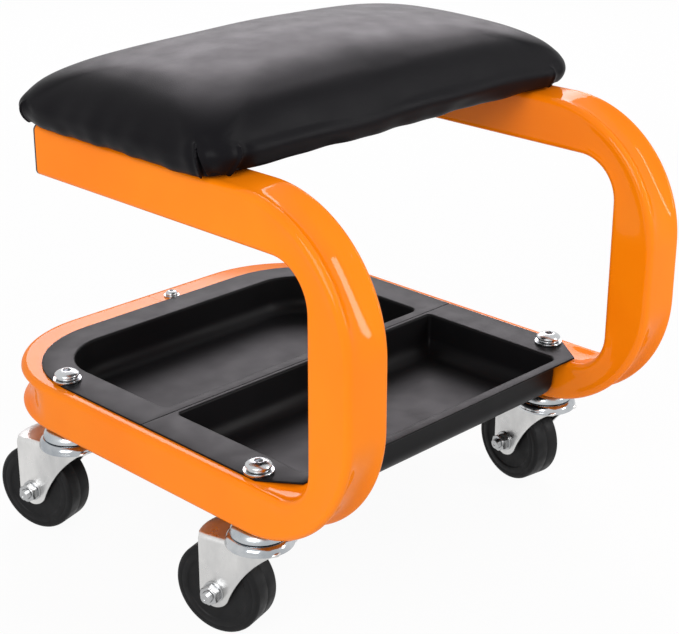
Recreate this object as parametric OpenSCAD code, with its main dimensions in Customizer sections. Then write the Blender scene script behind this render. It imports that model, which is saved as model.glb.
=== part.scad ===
/* [Frame] */
// Width over the two side loops
frame_w = 360; // [330:1:400]
// Depth from the front bends to the rear rail
frame_d = 426; // [400:1:470]
// Side of the square frame tube
tube = 38; // [34:0.5:42]
// Wall of the frame tube
tube_wall = 2; // [1.5:0.1:3]
// Outer corner radius of the frame tube
tube_corner_r = 4.5; // [3.5:0.1:6]
// Height of the seat arms' top face
arm_top_h = 339; // [320:1:380]
// Length of a seat arm, from the front of the loop to its cut end
arm_l = 315; // [290:1:330]
// Height of the lower rails' bottom face
rail_bottom_h = 91; // [91:1:110]
// Outer radius of the front bends
bend_outer_r = 101; // [90:1:108]
// Inner radius of the upper front bends, tighter because the tube is squeezed there
bend_inner_r = 32; // [26:1:40]
// Inner radius of the lower front bends
low_bend_inner_r = 31; // [30:1:44]
// Outer radius of the rear bends, seen from above
rear_bend_r = 101; // [90:1:120]
// Gap where the two frame halves meet
seam_gap = 0.4; // [0.2:0.1:1]
// Distance from a rear bend to the end of the sleeve inside that joint
sleeve_end_inset = 24; // [12:1:40]
// Wall of the sleeve
sleeve_wall = 2.5; // [2:0.1:4]
// Gap between the sleeve and the tube
sleeve_gap = 0.25; // [0.15:0.05:0.5]

/* [End plugs] */
// Thickness of an end plug's cap
plug_cap = 1.6; // [1:0.1:3]
// Depth of an end plug inside the tube
plug_depth = 14; // [8:1:25]
// Wall of an end plug
plug_wall = 2; // [1.5:0.1:3]
// Gap between a plug and the tube
plug_gap = 0.1; // [0.05:0.05:0.4]

/* [Trays] */
// Sheet of the trays
tray_sheet = 1.5; // [1:0.1:2]
// Depth of a tray, from the flange's top to the bottom's underside
tray_depth = 34; // [30:0.5:37]
// Distance from the frame's side to the tray flange
flange_side_inset = 9; // [5:0.5:13]
// Distance from the frame's back to the tray flange
flange_back_inset = 26; // [20:0.5:30]
// Corner radius of the back tray's flange
flange_corner_r = 86; // [60:1:88]
// Gap between a tray wall and the rail beside it
tray_wall_gap = 0.7; // [0.4:0.1:2]
// Distance from the frame's back to the back tray's well
well_back_inset = 52; // [45:1:60]
// Corner radius of the back tray's rear corners
well_back_r = 49; // [40:1:60]
// Corner radius of the other tray corners
well_corner_r = 6; // [5:0.5:9]
// Radius where the walls turn into the bottom
well_floor_r = 22; // [12:1:24]
// How far the straight part of a wall leans in
well_draft = 1; // [0.5:0.1:3]
// Place of the seam between the trays, forward of the middle is less
tray_seam_y = 6.5; // [0:0.5:20]
// Gap at that seam
tray_seam_gap = 0.3; // [0.3:0.1:1]
// Width of the back tray's strip at the seam
divider_strip = 8.5; // [6:0.5:12]
// Width of the front tray's strip at the seam
divider_ledge = 2.6; // [2:0.2:5]
// Distance from the end of the lower bends' inner curve to the front tray's edge
tray_front_inset = 1; // [0.5:0.5:6]
// Width of the front tray's front lip
tray_lip = 8; // [6:0.5:12]
// Cut across the front tray's front corners, along the lip
tray_chamfer_x = 19.5; // [12:0.5:24]
// Cut across the front tray's front corners, along the rail
tray_chamfer_y = 27; // [18:0.5:34]

/* [Tray screws] */
// Distance of the caster and tray screws from the frame's front and back
caster_inset = 104; // [101:1:108]
// Radius of a tray screw's thread
tray_screw_r = 5; // [4:0.5:5]
// Radius of a tray screw's head
tray_head_r = 9.6; // [8:0.1:10]
// Height of a tray screw's head
tray_head_h = 5.4; // [4.5:0.1:7]
// Width across the flats of the head's socket
tray_socket_af = 6; // [5:0.5:6]
// Depth of the head's socket
tray_socket_depth = 3.2; // [2:0.1:4]
// Radius of the flat washer under the head
tray_washer_r = 11; // [10:0.5:12]
// Thickness of the flat washer
tray_washer_t = 2; // [1.5:0.1:2.5]
// Outer radius of the spring washer
spring_washer_r = 8; // [7.5:0.1:8.5]
// Thickness of the spring washer
spring_washer_t = 2.2; // [1.8:0.1:3]
// Clearance of a hole round its screw
hole_gap = 0.4; // [0.3:0.05:0.8]

/* [Seam screw] */
// Distance of the seam screw from the middle
seam_screw_x = 15; // [12:1:25]
// Radius of the seam screw's thread
seam_screw_r = 3; // [2.5:0.5:4]
// Radius of the seam screw's head
seam_head_r = 5.4; // [4.5:0.1:7]
// Height of the seam screw's head
seam_head_h = 4.3; // [2.5:0.1:5]
// Length of the seam screw under its head
seam_screw_l = 9; // [8:0.5:14]
// Radius of the seam screw's washer
seam_washer_r = 6.8; // [6:0.1:8]
// Thickness of the seam screw's washer
seam_washer_t = 1.2; // [0.8:0.1:1.6]
// Width across the flats of the seam screw's socket
seam_socket_af = 4; // [3:0.5:4]
// Depth of the seam screw's socket
seam_socket_depth = 1.8; // [1:0.1:2]

/* [Seat] */
// How far the cushion reaches past the frame's sides at its widest
cushion_overhang = 12; // [6:0.5:18]
// Width of the cushion at its widest
cushion_w = 214; // [190:1:230]
// Distance from the arms' cut ends to the middle of the cushion
cushion_set_in = 94; // [90:1:104]
// Height of the cushion's lower edge above the arms
cushion_lift = 2; // [1:0.5:6]
// Height from the lower edge to the cushion's widest line
cushion_belly = 12; // [9:0.5:18]
// Height from the widest line to the foot of the crown
cushion_shoulder = 28; // [22:0.5:34]
// Extra height of the crown at its middle
cushion_crown = 14.5; // [8:0.5:22]
// How far the shoulders lean in
cushion_shoulder_in = 58; // [40:1:64]
// How far the sides are drawn in at the lower edge
cushion_tuck = 7; // [4:0.5:10]
// Corner radius of the cushion, seen from above
cushion_corner_r = 22; // [14:1:30]
// Thickness of the seat board
board_t = 12; // [9:0.5:18]
// Distance from the cushion's widest line to the board's edge
board_inset = 14; // [11:0.5:20]
// Corner radius of the board
board_corner_r = 10; // [6:1:20]
// Gap between the cushion and the board
cushion_gap = 0.3; // [0.3:0.05:0.6]

/* [Seat bolts] */
// Distance of a seat bolt from the middle of the cushion
seat_bolt_y = 62; // [50:1:75]
// Radius of a seat bolt's thread
seat_bolt_r = 4; // [3:0.5:4]
// Radius of a seat bolt's head
seat_bolt_head_r = 7.5; // [7:0.1:9]
// Height of a seat bolt's head
seat_bolt_head_h = 4; // [3:0.1:5]
// Width across the flats of the socket in a seat bolt's head
seat_bolt_socket_af = 5; // [4:0.5:5]
// Depth of that socket
seat_bolt_socket_depth = 2.2; // [1.5:0.1:2.5]
// Radius of a threaded insert's flange
insert_flange_r = 9.5; // [8:0.5:12]
// Thickness of a threaded insert's flange
insert_flange_t = 1.4; // [1:0.1:2]
// Radius of a threaded insert's barrel
insert_barrel_r = 5.2; // [5:0.1:6]

/* [Casters] */
// Radius of a caster wheel
wheel_r = 35; // [31:0.5:36]
// Width of a caster wheel
wheel_w = 26; // [22:0.5:30]
// Rounding of a wheel's edges
wheel_edge_r = 4.5; // [2:0.5:7]
// Depth of the recess in a wheel's face
wheel_recess = 1.2; // [0.6:0.1:2]
// Radius of the recess in a wheel's face
wheel_recess_r = 25; // [20:0.5:27]
// Radius of a wheel's hub
wheel_hub_r = 11; // [9:0.5:13]
// Distance from the swivel axis to the wheel's axle
caster_trail = 29; // [26:0.5:30]
// Sheet of a caster fork
fork_sheet = 2.5; // [2:0.1:3]
// Gap between a wheel's hub and a fork leg
fork_side_gap = 0.5; // [0.3:0.1:1.5]
// How far the hub stands out from the wheel's face
hub_standout = 0.6; // [0.3:0.1:1.5]
// Radius round the axle at the end of a fork leg
fork_end_r = 12.5; // [11:0.5:14]
// Outer bend radius of a fork
fork_bend_r = 4; // [3.5:0.1:5]
// Radius of the fork's plate round the swivel axis
fork_plate_r = 25; // [24:0.5:27]
// Gap between a wheel's tread and the fork's plate
fork_top_gap = 6; // [5:0.5:8]
// How far the fork leg's front edge curves in
fork_front_sag = 4.5; // [1:0.5:6]
// Radius of the raised ball race on a fork
race_r = 24.5; // [22:0.5:25]
// Height of the raised ball race
race_h = 7.2; // [6.5:0.1:8]
// Wall of the raised ball race
race_wall = 2; // [1.5:0.1:2.5]
// Radius of the cup above the balls
cup_r = 21.5; // [19:0.5:23]
// Gap that the race turns in
race_gap = 0.3; // [0.3:0.05:0.5]
// Radius of a ball
ball_r = 3; // [2.5:0.1:3.2]
// Radius of the ring of balls
ball_ring_r = 15; // [13:0.5:16]
// Count of the balls in a ring
ball_count = 13; // [8:1:14]
// Gap round a ball
ball_gap = 0.1; // [0.05:0.05:0.2]
// Radius of the hollow kingpin
kingpin_r = 8; // [7:0.5:9]
// Running clearance on the kingpin
kingpin_gap = 0.08; // [0.03:0.01:0.1]
// Radius of the kingpin's lower collar
collar_r = 12; // [10:0.5:14]
// Thickness of the kingpin's lower collar
collar_t = 2.4; // [1.5:0.1:3]
// Width across the flats of a caster's lock nut
lock_nut_af = 16; // [14:0.5:16]
// Height of a caster's lock nut
lock_nut_h = 6; // [5:0.1:6.5]
// Length of tray screw below the lock nut
screw_tail = 1.4; // [0.5:0.1:1.8]
// Radius of an axle bolt's thread
axle_r = 4; // [3:0.5:4]
// Outer radius of the sleeve that a wheel turns on
axle_sleeve_r = 6; // [5.5:0.1:7]
// Running clearance on the axle sleeve
axle_gap = 0.08; // [0.03:0.01:0.1]
// Width across the flats of an axle nut and of an axle bolt's head
axle_nut_af = 13; // [10:0.5:14]
// Height of an axle nut
axle_nut_h = 8; // [5:0.1:9]
// Height of an axle bolt's head
axle_head_h = 5.3; // [4:0.1:6]
// Length of axle bolt beyond its nut
axle_tail = 3.5; // [2:0.5:6]
// Turn of the front left caster, from the right-hand side
turn_front_left = 105; // [0:1:359]
// Turn of the back left caster
turn_back_left = 106; // [0:1:359]
// Turn of the front right caster
turn_front_right = 82; // [0:1:359]
// Turn of the back right caster
turn_back_right = 75; // [0:1:359]

/* [Hidden] */
$fn = 96;

// Corners of the frame: sign across, sign front to back, and the caster's turn
FL = [-1, -1, turn_front_left];
FR = [1, -1, turn_front_right];
BL = [-1, 1, turn_back_left];
BR = [1, 1, turn_back_right];

// Overrun of every cutting shape, the least straight edge, and the chamfer at a bolt's tip
cut = tube_wall;
small_edge = tube_wall / 4;
tip_chamfer = axle_r / 4;
// Size of a nut's flat face as a share of its width across the flats
nut_face_share = 0.95;
// Where a fork leg's front edge meets its round end, below the axle's level
fork_foot_angle = 14;

// Frame
half_w = frame_w / 2;
front_y = -frame_d / 2;
back_y = frame_d / 2;
arm_end_y = front_y + arm_l;
rail_top_h = rail_bottom_h + tube;
rail_x = half_w - tube / 2;
arm_bottom_h = arm_top_h - tube;
sleeve_l = 2 * (half_w - rear_bend_r - sleeve_end_inset);

// Trays and casters
caster_y = back_y - caster_inset;
tray_front_y = front_y + tube + low_bend_inner_r + tray_front_inset;
flange_top_h = rail_top_h + tray_sheet;
flange_x = half_w - flange_side_inset;
well_x = half_w - tube - tray_wall_gap;
well_back_y = back_y - well_back_inset;
back_well_front_y = tray_seam_y + divider_strip;
front_well_back_y = tray_seam_y - tray_seam_gap - divider_ledge;
front_well_front_y = tray_front_y + tray_lip;

// Screw stack on a tray
spring_washer_h = flange_top_h + tray_washer_t;
tray_head_z = spring_washer_h + spring_washer_t;

// Caster heights, up from the floor
plate_bottom_h = 2 * wheel_r + fork_top_gap;
plate_top_h = plate_bottom_h + fork_sheet;
race_top_h = plate_top_h + race_h;
cup_bottom_h = race_top_h + race_gap;
collar_top_h = plate_bottom_h - race_gap;
collar_bottom_h = collar_top_h - collar_t;
lock_nut_bottom_h = collar_bottom_h - lock_nut_h;
hub_half = wheel_w / 2 + hub_standout;
leg_inner = hub_half + fork_side_gap;
leg_outer = leg_inner + fork_sheet;

// Seat
cushion_l = frame_w + 2 * cushion_overhang;
cushion_y = arm_end_y - cushion_set_in;
board_top_h = arm_top_h + board_t;
board_x = cushion_l / 2 - board_inset;
board_y = cushion_w / 2 - board_inset;
cushion_low_h = arm_top_h + cushion_lift;
cushion_belly_h = cushion_low_h + cushion_belly;
recess_top_h = board_top_h + cushion_gap;

// Colours
orange = [0.95, 0.38, 0.05];
tray_black = [0.09, 0.09, 0.095];
vinyl_black = [0.05, 0.05, 0.055];
zinc = [0.75, 0.76, 0.78];
rubber_black = [0.03, 0.03, 0.032];

// Rounded rectangle with true arcs
module round_rect(w, h, r) {
    square([w - 2 * r, h], center = true);
    square([w, h - 2 * r], center = true);
    for (x = [-1, 1], y = [-1, 1]) translate([x * (w / 2 - r), y * (h / 2 - r)]) circle(r);
}

module ring(r_out, r_in, h) {
    difference() {
        cylinder(r = r_out, h = h);
        translate([0, 0, -cut]) cylinder(r = r_in, h = h + 2 * cut);
    }
}

module hex_prism(af, h) {
    cylinder(r = af / 2 / cos(30), h = h, $fn = 6);
}

// Hexagon with its corners turned off
module hex_head(af, h) {
    face_r = nut_face_share * af / 2;
    intersection() {
        hex_prism(af, h);
        union() {
            cylinder(r1 = face_r, r2 = face_r + h / 2, h = h / 2);
            translate([0, 0, h / 2]) cylinder(r1 = face_r + h / 2, r2 = face_r, h = h / 2);
        }
    }
}

module hex_nut(af, h, r_in) {
    difference() {
        hex_head(af, h);
        translate([0, 0, -cut]) cylinder(r = r_in, h = h + 2 * cut);
    }
}

// Domed screw head with a hexagon socket, standing on its underside
module button_head(r, h, socket_af, socket_depth) {
    dome_r = (r * r + h * h) / (2 * h);
    difference() {
        intersection() {
            cylinder(r = r - small_edge, h = h);
            translate([0, 0, h - dome_r]) sphere(dome_r);
        }
        translate([0, 0, h - socket_depth]) hex_prism(socket_af, socket_depth + cut);
    }
}

// Section of the tube, inset by a given amount
module tube_section(inset) {
    round_rect(tube - 2 * inset, tube - 2 * inset, tube_corner_r - inset);
}

// Space inside a bend, as a section: x across the tube, y from its inner face into the tube
module inner_relief(inset) {
    w = tube - 2 * inset;
    r = tube_corner_r - inset;
    reach = bend_outer_r;
    difference() {
        translate([-w / 2 - cut, -reach]) square([w + 2 * cut, reach + r]);
        translate([-w / 2 + r, 0]) square([w - 2 * r, r + cut]);
        for (x = [-1, 1]) translate([x * (w / 2 - r), r]) circle(r);
    }
}

// Section of the relief round a bend's inner centre, no further out than the centre line
module inner_relief_turned(inner_r, inset) {
    ri = inner_r + inset;
    intersection() {
        translate([ri, 0]) rotate(-90) inner_relief(inset);
        translate([0, -tube]) square([ri + tube, 2 * tube]);
    }
}

// Section of a bend's outer half, measured from the outer centre
module bend_pie(inset) {
    w = tube - 2 * inset;
    r = tube_corner_r - inset;
    ro = bend_outer_r - inset;
    translate([0, -w / 2]) square([ro - r, w]);
    translate([0, r - w / 2]) square([ro, w - 2 * r]);
    for (y = [-1, 1]) translate([ro - r, y * (w / 2 - r)]) circle(r);
}

// Front bend in its own frame: x runs forward to back, y up, z across the tube.
// The outer centre is at the origin and the bend fills the quarter with x and y both negative.
module front_bend(inner_r, inset) {
    inner = bend_outer_r - tube + inset;
    ri = inner_r + inset;
    difference() {
        rotate([0, 0, 180]) rotate_extrude(angle = 90) bend_pie(inset);
        translate([ri - inner, 0, 0]) rotate([0, 90, 0])
            linear_extrude(inner) translate([0, -inner]) mirror([0, 1]) inner_relief(inset);
        translate([0, ri - inner, 0]) rotate([0, 90, 90])
            linear_extrude(inner) translate([0, inner]) inner_relief(inset);
        translate([ri - inner, ri - inner, 0]) rotate([0, 0, 180])
            rotate_extrude(angle = 90) inner_relief_turned(inner_r, inset);
    }
}

// One half of the frame without its holes, inset by a given amount. It lies at x below zero.
module half_frame(inset) {
    over = inset > 0 ? cut : 0;
    straight_h = arm_top_h - rail_bottom_h - 2 * bend_outer_r;
    rail_l = frame_d - bend_outer_r - rear_bend_r;
    bend_mid_r = bend_outer_r - tube / 2;
    rear_mid_r = rear_bend_r - tube / 2;
    translate([-rail_x, front_y + bend_outer_r, rail_bottom_h + bend_outer_r]) {
        // lower front bend, and the upright above it
        rotate([90, 0, 90]) front_bend(low_bend_inner_r, inset);
        translate([0, -bend_mid_r, 0]) linear_extrude(straight_h) tube_section(inset);
        // upper front bend and the seat arm
        translate([0, 0, straight_h]) {
            rotate([90, 0, 90]) mirror([0, 1, 0]) front_bend(bend_inner_r, inset);
            translate([0, 0, bend_mid_r]) rotate([-90, 0, 0])
                linear_extrude(arm_l - bend_outer_r + over) tube_section(inset);
        }
        // lower rail
        translate([0, 0, -bend_mid_r]) {
            rotate([-90, 0, 0]) linear_extrude(rail_l) tube_section(inset);
            // rear bend, seen from above, and half of the rear rail
            translate([rear_mid_r, rail_l, 0]) {
                rotate([0, 0, 90]) rotate_extrude(angle = 90)
                    translate([rear_mid_r, 0]) tube_section(inset);
                translate([0, rear_mid_r, 0]) rotate([90, 0, 90])
                    linear_extrude(half_w - rear_bend_r - seam_gap / 2 + over) tube_section(inset);
            }
        }
    }
}

module seat_bolt_places() {
    for (y = [-1, 1]) translate([-rail_x, cushion_y + y * seat_bolt_y, 0]) children();
}

module frame_half_drilled() {
    difference() {
        half_frame(0);
        half_frame(tube_wall);
        for (y = [-1, 1]) translate([-rail_x, y * caster_y, rail_bottom_h - cut])
            cylinder(r = tray_screw_r + hole_gap, h = tube + 2 * cut);
        seat_bolt_places() translate([0, 0, arm_bottom_h - cut])
            cylinder(r = seat_bolt_r + hole_gap, h = tube + 2 * cut);
    }
}

module frame_left() {
    color(orange) frame_half_drilled();
}

module frame_right() {
    color(orange) difference() {
        mirror([1, 0, 0]) frame_half_drilled();
        translate([seam_screw_x, back_y - tube / 2, rail_bottom_h + tube / 2])
            cylinder(r = seam_screw_r + hole_gap, h = tube);
    }
}

module frame_sleeve() {
    outer = tube - 2 * tube_wall - 2 * sleeve_gap;
    r = tube_corner_r - tube_wall;
    color(zinc) difference() {
        translate([-sleeve_l / 2, back_y - tube / 2, rail_bottom_h + tube / 2]) rotate([90, 0, 90])
            linear_extrude(sleeve_l) difference() {
                round_rect(outer, outer, r);
                square(outer - 2 * sleeve_wall, center = true);
            }
        translate([seam_screw_x, back_y - tube / 2, rail_bottom_h + tube / 2])
            cylinder(r = seam_screw_r, h = tube);
    }
}

module seam_screw() {
    head_z = rail_top_h + seam_washer_t;
    color(zinc) translate([seam_screw_x, back_y - tube / 2, head_z]) {
        button_head(seam_head_r, seam_head_h, seam_socket_af, seam_socket_depth);
        translate([0, 0, -seam_screw_l]) cylinder(r = seam_screw_r, h = seam_screw_l);
    }
}

module seam_washer() {
    color(zinc) translate([seam_screw_x, back_y - tube / 2, rail_top_h])
        ring(seam_washer_r, seam_screw_r + hole_gap / 2, seam_washer_t);
}

// Plug in the cut end of a seat arm
module end_plug(side) {
    inner = tube - 2 * tube_wall - 2 * plug_gap;
    r = tube_corner_r - tube_wall;
    color(tray_black) translate([side * rail_x, arm_end_y, arm_top_h - tube / 2]) rotate([-90, 0, 0]) {
        linear_extrude(plug_cap) round_rect(tube, tube, tube_corner_r);
        translate([0, 0, -plug_depth]) linear_extrude(plug_depth) difference() {
            round_rect(inner, inner, r);
            square(inner - 2 * plug_wall, center = true);
        }
    }
}

// Half outline of a well's cross-section, y up from the bottom's underside, open at the top.
// The wall reaches x = edge at the top, and shrink insets every face.
module well_half(edge, shrink) {
    r = well_floor_r - shrink;
    cx = edge - well_draft - well_floor_r;
    top = tray_depth + (shrink > 0 ? cut : 0);
    lean = well_draft / (tray_depth - well_floor_r);
    polygon([
        [0, shrink], [cx, shrink], [cx + r, well_floor_r],
        [cx + r + lean * (top - well_floor_r), top], [0, top]
    ]);
    translate([cx, well_floor_r]) intersection() {
        circle(r);
        translate([-cx, -r - cut]) square([cx + r + cut, r + cut]);
    }
}

module well_section(edge, shrink) {
    well_half(edge, shrink);
    mirror([1, 0]) well_half(edge, shrink);
}

// Solid of a well between x = +-edge_x and y = +-edge_y, standing on its bottom's underside
module well_block(edge_x, edge_y, shrink) {
    over = small_edge - shrink;
    intersection() {
        rotate([90, 0, 0]) linear_extrude(2 * edge_y, center = true) well_section(edge_x, shrink);
        rotate([90, 0, 90]) linear_extrude(2 * edge_x, center = true) well_section(edge_y, shrink);
        translate([0, 0, -cut]) linear_extrude(tray_depth + 3 * cut)
            round_rect(2 * (edge_x + over), 2 * (edge_y + over), well_corner_r + over);
    }
}

// The same with big rear corners
module back_well_block(edge_x, edge_y, shrink) {
    difference() {
        well_block(edge_x, edge_y, shrink);
        for (x = [edge_x - well_back_r, -edge_x - cut]) translate([x, edge_y - well_back_r, -cut])
            cube([well_back_r + cut, well_back_r + cut, tray_depth + 3 * cut]);
    }
    for (side = [1, -1]) translate([side * (edge_x - well_back_r), edge_y - well_back_r, 0])
        rotate([0, 0, side > 0 ? 0 : 90]) rotate_extrude(angle = 90) well_half(well_back_r, shrink);
}

module screw_holes(h) {
    for (x = [-1, 1], y = [-1, 1]) translate([x * rail_x, y * caster_y, h])
        cylinder(r = tray_screw_r + hole_gap, h = tube);
}

module back_flange() {
    depth = back_y - flange_back_inset - tray_seam_y;
    centre_x = flange_x - flange_corner_r;
    intersection() {
        translate([-flange_x, tray_seam_y]) square([2 * flange_x, depth]);
        union() {
            translate([-flange_x, tray_seam_y]) square([2 * flange_x, depth - flange_corner_r]);
            translate([-centre_x, tray_seam_y]) square([2 * centre_x, depth]);
            for (x = [-1, 1]) translate([x * centre_x, tray_seam_y + depth - flange_corner_r])
                circle(flange_corner_r);
        }
    }
}

module back_tray() {
    edge_y = (well_back_y - back_well_front_y) / 2;
    mid_y = (well_back_y + back_well_front_y) / 2;
    bottom_h = flange_top_h - tray_depth;
    color(tray_black) difference() {
        union() {
            translate([0, 0, rail_top_h]) linear_extrude(tray_sheet) back_flange();
            translate([0, mid_y, bottom_h]) back_well_block(well_x, edge_y, 0);
        }
        translate([0, mid_y, bottom_h]) back_well_block(well_x, edge_y, tray_sheet);
        screw_holes(rail_top_h - tube / 2);
    }
}

module front_flange() {
    x = flange_x;
    top = tray_seam_y - tray_seam_gap;
    polygon([
        [-x, top], [-x, tray_front_y + tray_chamfer_y], [-x + tray_chamfer_x, tray_front_y],
        [x - tray_chamfer_x, tray_front_y], [x, tray_front_y + tray_chamfer_y], [x, top]
    ]);
}

module front_tray() {
    edge_y = (front_well_back_y - front_well_front_y) / 2;
    mid_y = (front_well_back_y + front_well_front_y) / 2;
    bottom_h = flange_top_h - tray_depth;
    color(tray_black) difference() {
        union() {
            translate([0, 0, rail_top_h]) linear_extrude(tray_sheet) front_flange();
            translate([0, mid_y, bottom_h]) well_block(well_x, edge_y, 0);
        }
        translate([0, mid_y, bottom_h]) well_block(well_x, edge_y, tray_sheet);
        screw_holes(rail_top_h - tube / 2);
    }
}

module at_corner(c) {
    translate([c[0] * rail_x, c[1] * caster_y, 0]) children();
}

// Screw through the tray flange, the rail and the caster's kingpin
module tray_screw(c) {
    tail_h = lock_nut_bottom_h - screw_tail;
    color(zinc) at_corner(c) {
        translate([0, 0, tray_head_z])
            button_head(tray_head_r, tray_head_h, tray_socket_af, tray_socket_depth);
        translate([0, 0, tail_h]) cylinder(r = tray_screw_r, h = tray_head_z - tail_h);
    }
}

// Flat washer with a split spring washer on it
module tray_washer(c) {
    split_w = spring_washer_t / 2;
    color(zinc) at_corner(c) {
        translate([0, 0, flange_top_h]) ring(tray_washer_r, tray_screw_r + hole_gap / 2, tray_washer_t);
        translate([0, 0, spring_washer_h]) difference() {
            ring(spring_washer_r, tray_screw_r + hole_gap / 2, spring_washer_t);
            translate([0, -split_w / 2, -cut])
                cube([2 * spring_washer_r, split_w, spring_washer_t + 2 * cut]);
        }
    }
}

// Cushion outline: a rounded rectangle, corner by corner, with points along its sides
corner_steps = 6;
side_steps = 8;
corner_signs = [[1, 1], [-1, 1], [-1, -1], [1, -1]];
function corner_point(x, y, r, k, t) =
    let (s = corner_signs[k % 4], a = (k + t) * 90)
    [s[0] * (x - r) + r * cos(a), s[1] * (y - r) + r * sin(a)];
function outline(x, y, r) = [
    for (k = [0:3]) each concat(
        [for (i = [0:corner_steps]) corner_point(x, y, r, k, i / corner_steps)],
        [
            for (i = [1:side_steps - 1])
                let (a = corner_point(x, y, r, k, 1), b = corner_point(x, y, r, k + 1, 0))
                a + (b - a) * i / side_steps
        ]
    )
];
// Rise of the crown at a point, as a share of its full height
crown_power = 1.9;
function fall(at, half) = max(0, 1 - pow(abs(at) / half, crown_power));
function crown_share(p) = fall(p[0], cushion_l / 2) * fall(p[1], cushion_w / 2);
corner_growth_share = 0.4;
corner_limit_share = 0.95;
function cushion_ring(inset, h, lift, scale_share) =
    let (r = min(cushion_corner_r + inset * corner_growth_share, (cushion_w / 2 - inset) * corner_limit_share))
    [
        for (p = outline(cushion_l / 2 - inset, cushion_w / 2 - inset, r) * scale_share)
            [p[0], p[1] + cushion_y, h + cushion_crown * lift * crown_share(p)]
    ];
function flat_ring(x, y, r, h) = [for (p = outline(x, y, r)) [p[0], p[1] + cushion_y, h]];

shoulder_steps = 7;
shoulder_power = 0.9;
crown_shares = [0.8, 0.6, 0.4, 0.2];
tuck_shares = [0, 0.5, 0.8];
function cushion_rings() = concat(
    [for (s = [0]) flat_ring(board_x + cushion_gap, board_y + cushion_gap, board_corner_r, recess_top_h)],
    [for (s = [0]) flat_ring(board_x + cushion_gap, board_y + cushion_gap, board_corner_r, cushion_low_h)],
    [
        for (t = tuck_shares)
            let (a = t * 90)
            cushion_ring(cushion_tuck * (1 - sin(a)), cushion_belly_h - cushion_belly * cos(a), 0, 1)
    ],
    [
        for (i = [0:shoulder_steps])
            let (a = i * 90 / shoulder_steps)
            cushion_ring(
                cushion_shoulder_in * (1 - cos(a)),
                cushion_belly_h + cushion_shoulder * pow(sin(a), shoulder_power), sin(a), 1
            )
    ],
    [for (s = crown_shares) cushion_ring(cushion_shoulder_in, cushion_belly_h + cushion_shoulder, 1, s)]
);

// Closed skin over a stack of rings, with a flat fan at each end
module skin(rings) {
    n = len(rings[0]);
    m = len(rings);
    low = [0, cushion_y, rings[0][0][2]];
    high = [0, cushion_y, cushion_belly_h + cushion_shoulder + cushion_crown];
    points = concat([for (r = rings) each r], [low, high]);
    walls = [
        for (j = [0:m - 2], i = [0:n - 1])
            let (a = j * n + i, b = j * n + (i + 1) % n, c = a + n, d = b + n)
            each [[a, c, d], [a, d, b]]
    ];
    low_fan = [for (i = [0:n - 1]) [m * n, i, (i + 1) % n]];
    high_fan = [for (i = [0:n - 1]) [m * n + 1, (m - 1) * n + (i + 1) % n, (m - 1) * n + i]];
    polyhedron(points, concat(walls, low_fan, high_fan));
}

module seat_cushion() {
    color(vinyl_black) skin(cushion_rings());
}

module seat_board() {
    color(tray_black) difference() {
        translate([0, cushion_y, arm_top_h]) linear_extrude(board_t)
            round_rect(2 * board_x, 2 * board_y, board_corner_r);
        for (c = [FL, FR, BL, BR]) at_seat_bolt(c) {
            translate([0, 0, arm_top_h - cut]) cylinder(r = insert_barrel_r, h = board_t + 2 * cut);
            translate([0, 0, board_top_h - insert_flange_t]) cylinder(r = insert_flange_r, h = board_t);
        }
    }
}

module at_seat_bolt(c) {
    translate([c[0] * rail_x, cushion_y + c[1] * seat_bolt_y, 0]) children();
}

// Bolt up through a seat arm
module seat_bolt(c) {
    shank = board_top_h - insert_flange_t - small_edge - arm_bottom_h;
    color(zinc) at_seat_bolt(c) translate([0, 0, arm_bottom_h]) {
        mirror([0, 0, 1])
            button_head(seat_bolt_head_r, seat_bolt_head_h, seat_bolt_socket_af, seat_bolt_socket_depth);
        cylinder(r = seat_bolt_r, h = shank);
    }
}

// Threaded insert in the seat board
module seat_insert(c) {
    barrel = board_t - insert_flange_t;
    color(zinc) at_seat_bolt(c) translate([0, 0, arm_top_h]) difference() {
        union() {
            cylinder(r = insert_barrel_r, h = barrel);
            translate([0, 0, barrel]) cylinder(r = insert_flange_r, h = insert_flange_t);
        }
        translate([0, 0, -cut]) cylinder(r = seat_bolt_r, h = barrel + cut);
    }
}

// Fixed half of the swivel: cup over the balls, hollow kingpin and lower collar
module caster_cup(c) {
    cup_h = rail_bottom_h - cup_bottom_h;
    rim = cup_h / 4;
    color(zinc) at_corner(c) difference() {
        union() {
            translate([0, 0, cup_bottom_h]) rotate_extrude() polygon([
                [0, 0], [cup_r - rim, 0], [cup_r, rim], [cup_r, 2 * rim],
                [cup_r - rim, 3 * rim], [cup_r - 3 * rim, cup_h], [0, cup_h]
            ]);
            translate([0, 0, collar_bottom_h]) cylinder(r = kingpin_r, h = rail_bottom_h - collar_bottom_h);
            translate([0, 0, collar_bottom_h]) cylinder(r = collar_r, h = collar_t);
        }
        translate([0, 0, collar_bottom_h - cut])
            cylinder(r = tray_screw_r + hole_gap / 2, h = rail_bottom_h - collar_bottom_h + 2 * cut);
    }
}

module caster_balls(c) {
    color(zinc) at_corner(c) for (i = [0:ball_count - 1]) rotate([0, 0, i * 360 / ball_count])
        translate([ball_ring_r, 0, race_top_h - ball_r]) sphere(ball_r, $fn = 24);
}

module caster_nut(c) {
    color(zinc) at_corner(c) translate([0, 0, lock_nut_bottom_h])
        hex_nut(lock_nut_af, lock_nut_h, tray_screw_r);
}

module on_caster(c) {
    at_corner(c) rotate([0, 0, c[2]]) children();
}

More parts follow.
